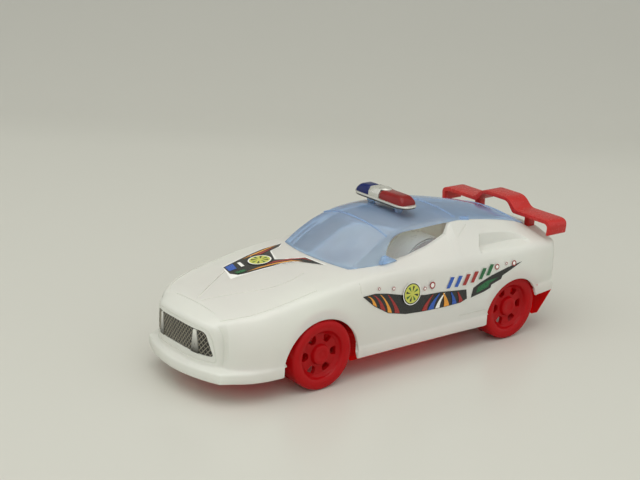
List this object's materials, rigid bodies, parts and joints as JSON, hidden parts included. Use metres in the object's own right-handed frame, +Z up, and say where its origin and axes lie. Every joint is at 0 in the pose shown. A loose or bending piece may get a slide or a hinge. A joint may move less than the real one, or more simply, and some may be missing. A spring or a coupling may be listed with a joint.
{
  "type": "toy police car",
  "caption": "Friction toy police car: white shell, clear blue canopy, roof light bar, red tail wing, red pan and dished wheels that turn with a geared flywheel.",
  "frame": {"origin": "on the floor under the middle of the bounding box", "axes": "+X towards the nose, +Y to the car's left, +Z up"},
  "size_m": [0.2559, 0.0982, 0.0932],
  "materials": {
    "white_shell": "glossy moulded plastic",
    "clear_blue": "clear tinted plastic",
    "red_plastic": "glossy moulded plastic",
    "pale_plastic": "satin moulded plastic",
    "blue_lens": "glossy coloured plastic",
    "red_lens": "glossy coloured plastic",
    "grille_print": "printed film",
    "film_print": "printed film",
    "steel": "bright drawn steel",
    "gear_plastic": "matt moulded plastic",
    "grey_plastic": "matt moulded plastic",
    "flywheel_metal": "turned metal"
  },
  "bodies": {
    "car_body": {"body_shell": "white_shell", "canopy": "clear_blue", "chassis": "red_plastic", "spoiler": "red_plastic", "light_bar_base": "pale_plastic", "light_bar_blue_lens": "blue_lens", "light_bar_red_lens": "red_lens", "light_bar_dome": "pale_plastic", "grille_sticker": "grille_print", "hood_sticker": "film_print", "left_side_sticker": "film_print", "right_side_sticker": "film_print", "chassis_screws": "steel", "gearbox_right": "grey_plastic", "gearbox_left": "grey_plastic", "gearbox_screws": "steel", "idler_pin": "steel"},
    "front_wheelset": {"front_axle": "steel", "front_left_wheel": "red_plastic", "front_right_wheel": "red_plastic"},
    "rear_wheelset": {"rear_axle": "steel", "rear_left_wheel": "red_plastic", "rear_right_wheel": "red_plastic", "axle_gear": "gear_plastic"},
    "idler": {"idler_gear": "gear_plastic"},
    "flywheel_set": {"flywheel_shaft": "steel", "flywheel": "flywheel_metal"}
  },
  "joints": [
    {"name": "front_axle_spin", "type": "hinge", "parent": "car_body", "child": "front_wheelset", "pos_m": [0.06, 0, 0.02], "axis": [0, 1, 0], "continuous": true},
    {"name": "rear_axle_spin", "type": "hinge", "parent": "car_body", "child": "rear_wheelset", "pos_m": [-0.084, 0, 0.02], "axis": [0, 1, 0], "continuous": true},
    {"name": "idler_spin", "type": "hinge", "parent": "car_body", "child": "idler", "pos_m": [-0.0777, 0, 0.02751], "axis": [0, 1, 0], "continuous": true},
    {"name": "flywheel_spin", "type": "hinge", "parent": "car_body", "child": "flywheel_set", "pos_m": [-0.0672, 0, 0.02751], "axis": [0, 1, 0], "continuous": true}
  ],
  "couplings": [
    {"joint": "idler_spin", "follows": "rear_axle_spin", "ratio": -1.8},
    {"joint": "flywheel_spin", "follows": "rear_axle_spin", "ratio": 3.6}
  ]
}
